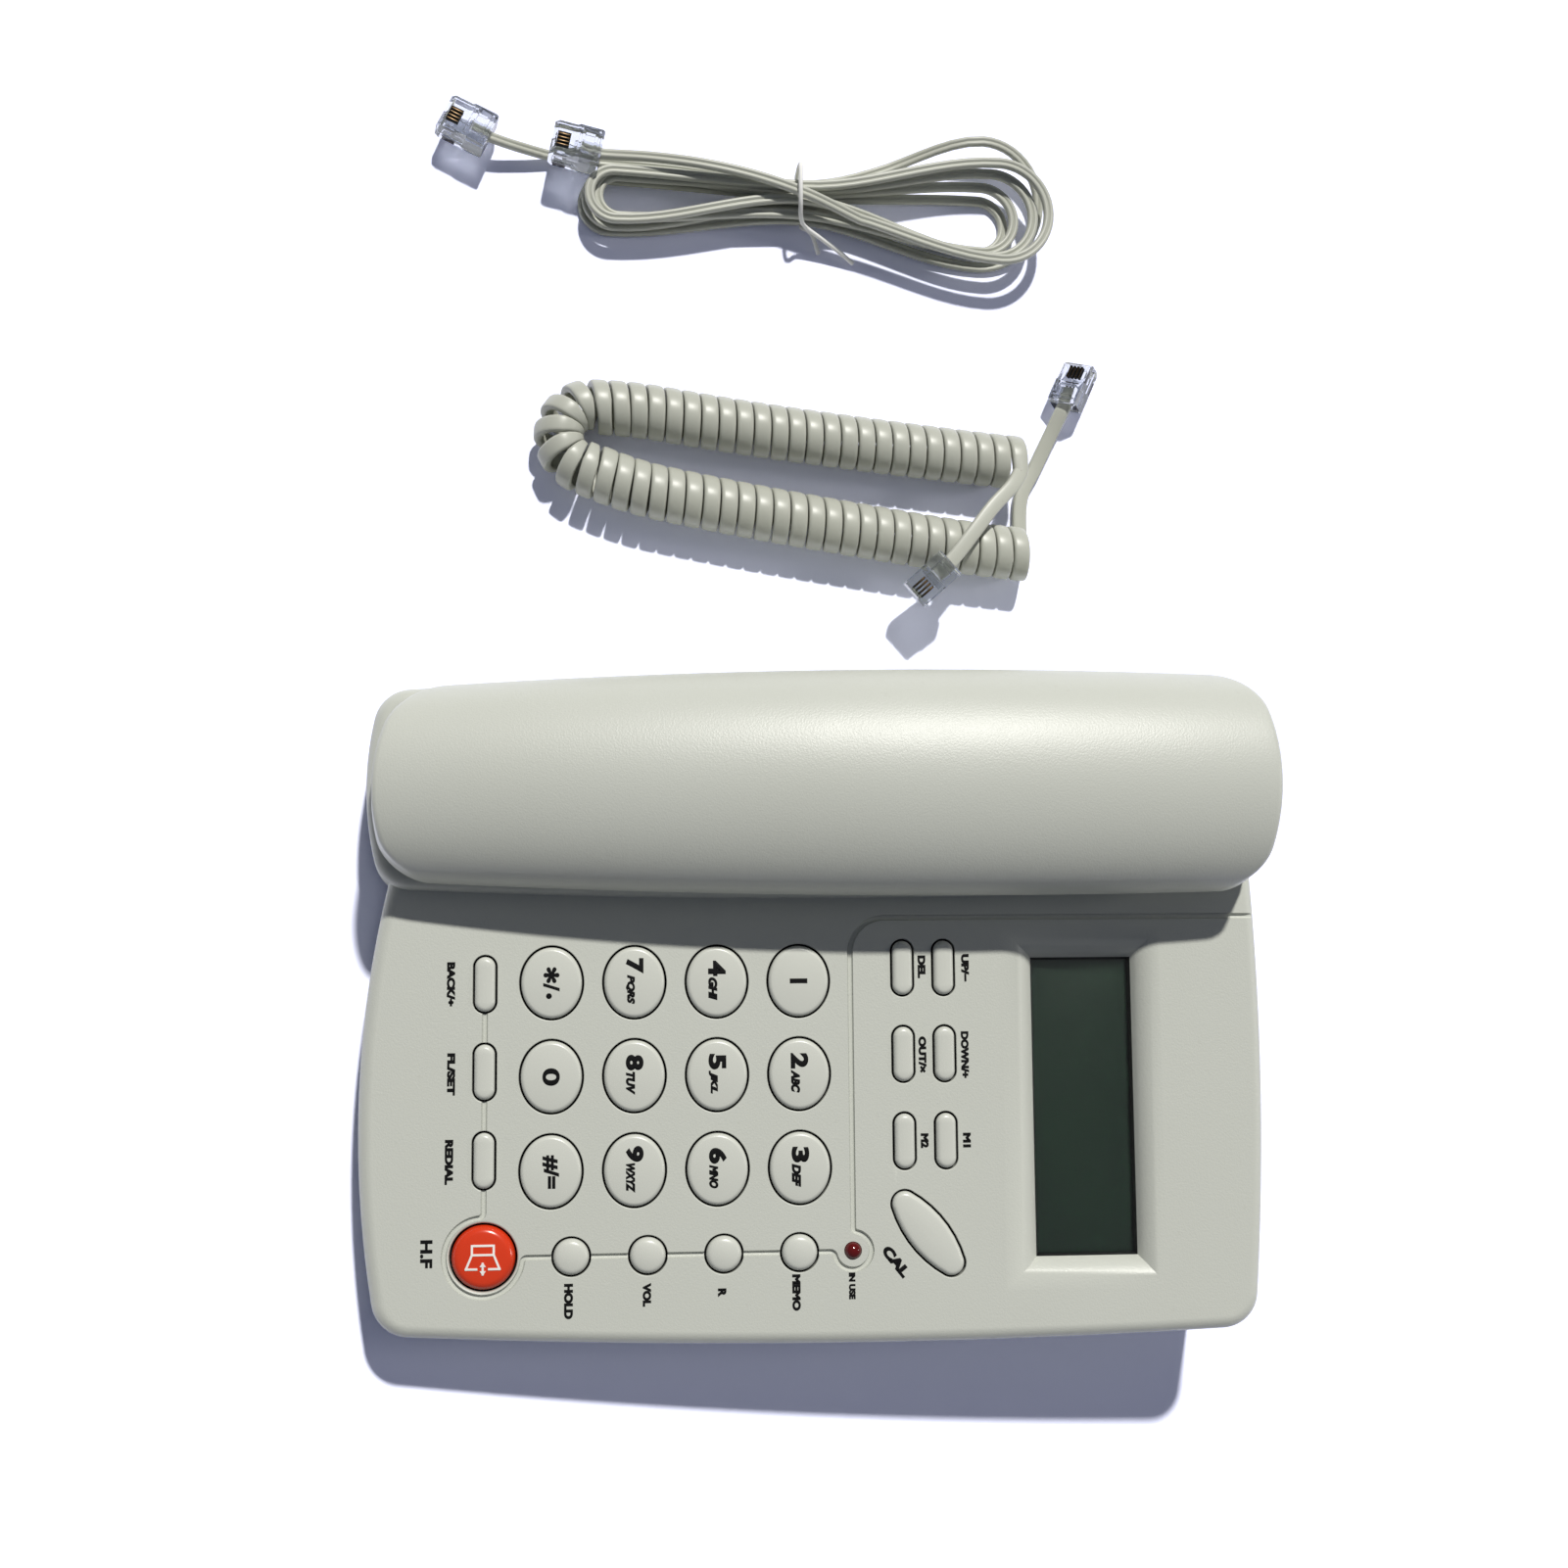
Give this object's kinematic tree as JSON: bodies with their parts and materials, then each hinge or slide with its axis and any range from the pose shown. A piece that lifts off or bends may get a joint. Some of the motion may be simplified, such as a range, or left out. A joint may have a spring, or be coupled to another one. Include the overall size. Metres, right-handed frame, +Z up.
{
  "type": "corded desk telephone",
  "caption": "Desk telephone with a wedge base, a dial and function keys, a display, a lift-off handset on its cradle, a loose curly handset cord and a tied line cord with clear plugs.",
  "frame": {"origin": "on the table under the middle of the telephone, without its cords", "axes": "+X to the right of the telephone, the handset being at -X; +Y to the back; +Z up"},
  "size_m": [0.2988, 0.2059, 0.0661],
  "materials": {
    "housing_plastic": "fine satin texture, warm light grey",
    "key_plastic": "smooth satin, a little lighter than the housing",
    "red_key_plastic": "red with a white printed loudspeaker",
    "window_plastic": "clear polished",
    "display": "dark green liquid crystal display, switched off",
    "circuit_board": "green lacquer",
    "red_lamp": "clear dark red",
    "screw_steel": "zinc plated",
    "foot_rubber": "matt black",
    "cell_metal": "printed sleeve",
    "contact_brass": "gold plated",
    "clear_plug_plastic": "clear polished",
    "tie_plastic": "white",
    "cord_jacket": "soft semi-gloss, cream grey",
    "black_plastic": "black"
  },
  "bodies": {
    "base": {"upper_housing": "housing_plastic", "lower_housing": "housing_plastic", "display_window": "window_plastic", "display_module": "display", "main_board": "circuit_board", "keypad_mat": "housing_plastic", "in_use_lamp": "red_lamp", "loudspeaker": "black_plastic", "handsfree_microphone": "black_plastic", "line_jack": "black_plastic", "base_handset_jack": "black_plastic", "housing_screws": "screw_steel", "rubber_feet": "foot_rubber", "battery_cells": "cell_metal", "hook_switch": "black_plastic", "handset_cord_coil": "cord_jacket", "handset_cord_near_lead": "cord_jacket", "handset_cord_far_lead": "cord_jacket", "handset_cord_plugs": "clear_plug_plastic", "line_cord_hank": "cord_jacket", "line_cord_outer_lead": "cord_jacket", "line_cord_inner_lead": "cord_jacket", "line_cord_plugs": "clear_plug_plastic", "cord_plug_contacts": "contact_brass", "line_cord_tie": "tie_plastic"},
    "handset": {"handset_top_shell": "housing_plastic", "handset_bottom_shell": "housing_plastic", "handset_receiver": "black_plastic", "handset_microphone": "black_plastic", "handset_jack": "black_plastic", "handset_screws": "screw_steel"},
    "hook_plunger": {"hook_plunger": "housing_plastic"},
    "battery_door": {"battery_door": "housing_plastic"},
    "key_1": {"key_1": "key_plastic"},
    "key_2": {"key_2": "key_plastic"},
    "key_3": {"key_3": "key_plastic"},
    "key_4": {"key_4": "key_plastic"},
    "key_5": {"key_5": "key_plastic"},
    "key_6": {"key_6": "key_plastic"},
    "key_7": {"key_7": "key_plastic"},
    "key_8": {"key_8": "key_plastic"},
    "key_9": {"key_9": "key_plastic"},
    "key_star": {"key_star": "key_plastic"},
    "key_0": {"key_0": "key_plastic"},
    "key_hash": {"key_hash": "key_plastic"},
    "key_back": {"key_back": "key_plastic"},
    "key_set": {"key_set": "key_plastic"},
    "key_redial": {"key_redial": "key_plastic"},
    "key_handsfree": {"key_handsfree": "red_key_plastic"},
    "key_hold": {"key_hold": "key_plastic"},
    "key_volume": {"key_volume": "key_plastic"},
    "key_recall": {"key_recall": "key_plastic"},
    "key_memory": {"key_memory": "key_plastic"},
    "key_delete": {"key_delete": "key_plastic"},
    "key_out": {"key_out": "key_plastic"},
    "key_store_2": {"key_store_2": "key_plastic"},
    "key_up": {"key_up": "key_plastic"},
    "key_down": {"key_down": "key_plastic"},
    "key_store_1": {"key_store_1": "key_plastic"},
    "key_call": {"key_call": "key_plastic"}
  },
  "joints": [
    {"name": "key_1_press", "type": "slide", "parent": "base", "child": "key_1", "axis": [0, 0.1045, -0.9945], "range_m": [0, 0.0012], "stiffness_N_per_m": 400, "springref_m": -0.0006},
    {"name": "key_2_press", "type": "slide", "parent": "base", "child": "key_2", "axis": [0, 0.1045, -0.9945], "range_m": [0, 0.0012], "stiffness_N_per_m": 400, "springref_m": -0.0006},
    {"name": "key_3_press", "type": "slide", "parent": "base", "child": "key_3", "axis": [0, 0.1045, -0.9945], "range_m": [0, 0.0012], "stiffness_N_per_m": 400, "springref_m": -0.0006},
    {"name": "key_4_press", "type": "slide", "parent": "base", "child": "key_4", "axis": [0, 0.1045, -0.9945], "range_m": [0, 0.0012], "stiffness_N_per_m": 400, "springref_m": -0.0006},
    {"name": "key_5_press", "type": "slide", "parent": "base", "child": "key_5", "axis": [0, 0.1045, -0.9945], "range_m": [0, 0.0012], "stiffness_N_per_m": 400, "springref_m": -0.0006},
    {"name": "key_6_press", "type": "slide", "parent": "base", "child": "key_6", "axis": [0, 0.1045, -0.9945], "range_m": [0, 0.0012], "stiffness_N_per_m": 400, "springref_m": -0.0006},
    {"name": "key_7_press", "type": "slide", "parent": "base", "child": "key_7", "axis": [0, 0.1045, -0.9945], "range_m": [0, 0.0012], "stiffness_N_per_m": 400, "springref_m": -0.0006},
    {"name": "key_8_press", "type": "slide", "parent": "base", "child": "key_8", "axis": [0, 0.1045, -0.9945], "range_m": [0, 0.0012], "stiffness_N_per_m": 400, "springref_m": -0.0006},
    {"name": "key_9_press", "type": "slide", "parent": "base", "child": "key_9", "axis": [0, 0.1045, -0.9945], "range_m": [0, 0.0012], "stiffness_N_per_m": 400, "springref_m": -0.0006},
    {"name": "key_star_press", "type": "slide", "parent": "base", "child": "key_star", "axis": [0, 0.1045, -0.9945], "range_m": [0, 0.0012], "stiffness_N_per_m": 400, "springref_m": -0.0006},
    {"name": "key_0_press", "type": "slide", "parent": "base", "child": "key_0", "axis": [0, 0.1045, -0.9945], "range_m": [0, 0.0012], "stiffness_N_per_m": 400, "springref_m": -0.0006},
    {"name": "key_hash_press", "type": "slide", "parent": "base", "child": "key_hash", "axis": [0, 0.1045, -0.9945], "range_m": [0, 0.0012], "stiffness_N_per_m": 400, "springref_m": -0.0006},
    {"name": "key_back_press", "type": "slide", "parent": "base", "child": "key_back", "axis": [0, 0.1045, -0.9945], "range_m": [0, 0.0012], "stiffness_N_per_m": 400, "springref_m": -0.0006},
    {"name": "key_set_press", "type": "slide", "parent": "base", "child": "key_set", "axis": [0, 0.1045, -0.9945], "range_m": [0, 0.0012], "stiffness_N_per_m": 400, "springref_m": -0.0006},
    {"name": "key_redial_press", "type": "slide", "parent": "base", "child": "key_redial", "axis": [0, 0.1045, -0.9945], "range_m": [0, 0.0012], "stiffness_N_per_m": 400, "springref_m": -0.0006},
    {"name": "key_handsfree_press", "type": "slide", "parent": "base", "child": "key_handsfree", "axis": [0, 0.1045, -0.9945], "range_m": [0, 0.0012], "stiffness_N_per_m": 400, "springref_m": -0.0006},
    {"name": "key_hold_press", "type": "slide", "parent": "base", "child": "key_hold", "axis": [0, 0.1045, -0.9945], "range_m": [0, 0.0012], "stiffness_N_per_m": 400, "springref_m": -0.0006},
    {"name": "key_volume_press", "type": "slide", "parent": "base", "child": "key_volume", "axis": [0, 0.1045, -0.9945], "range_m": [0, 0.0012], "stiffness_N_per_m": 400, "springref_m": -0.0006},
    {"name": "key_recall_press", "type": "slide", "parent": "base", "child": "key_recall", "axis": [0, 0.1045, -0.9945], "range_m": [0, 0.0012], "stiffness_N_per_m": 400, "springref_m": -0.0006},
    {"name": "key_memory_press", "type": "slide", "parent": "base", "child": "key_memory", "axis": [0, 0.1045, -0.9945], "range_m": [0, 0.0012], "stiffness_N_per_m": 400, "springref_m": -0.0006},
    {"name": "key_delete_press", "type": "slide", "parent": "base", "child": "key_delete", "axis": [0, 0.1045, -0.9945], "range_m": [0, 0.0012], "stiffness_N_per_m": 400, "springref_m": -0.0006},
    {"name": "key_out_press", "type": "slide", "parent": "base", "child": "key_out", "axis": [0, 0.1045, -0.9945], "range_m": [0, 0.0012], "stiffness_N_per_m": 400, "springref_m": -0.0006},
    {"name": "key_store_2_press", "type": "slide", "parent": "base", "child": "key_store_2", "axis": [0, 0.1045, -0.9945], "range_m": [0, 0.0012], "stiffness_N_per_m": 400, "springref_m": -0.0006},
    {"name": "key_up_press", "type": "slide", "parent": "base", "child": "key_up", "axis": [0, 0.1045, -0.9945], "range_m": [0, 0.0012], "stiffness_N_per_m": 400, "springref_m": -0.0006},
    {"name": "key_down_press", "type": "slide", "parent": "base", "child": "key_down", "axis": [0, 0.1045, -0.9945], "range_m": [0, 0.0012], "stiffness_N_per_m": 400, "springref_m": -0.0006},
    {"name": "key_store_1_press", "type": "slide", "parent": "base", "child": "key_store_1", "axis": [0, 0.1045, -0.9945], "range_m": [0, 0.0012], "stiffness_N_per_m": 400, "springref_m": -0.0006},
    {"name": "key_call_press", "type": "slide", "parent": "base", "child": "key_call", "axis": [0, 0.1045, -0.9945], "range_m": [0, 0.0012], "stiffness_N_per_m": 400, "springref_m": -0.0006},
    {"name": "handset_lift", "type": "slide", "parent": "base", "child": "handset", "axis": [0, -0.1045, 0.9945], "range_m": [0, 0.08]},
    {"name": "hook_plunger_rise", "type": "slide", "parent": "base", "child": "hook_plunger", "axis": [0, -0.1045, 0.9945], "range_m": [0, 0.0035]},
    {"name": "battery_door_off", "type": "slide", "parent": "base", "child": "battery_door", "axis": [0, 0, -1], "range_m": [0, 0.015]}
  ],
  "couplings": [
    {"joint": "hook_plunger_rise", "follows": "handset_lift", "ratio": 0.04375}
  ]
}
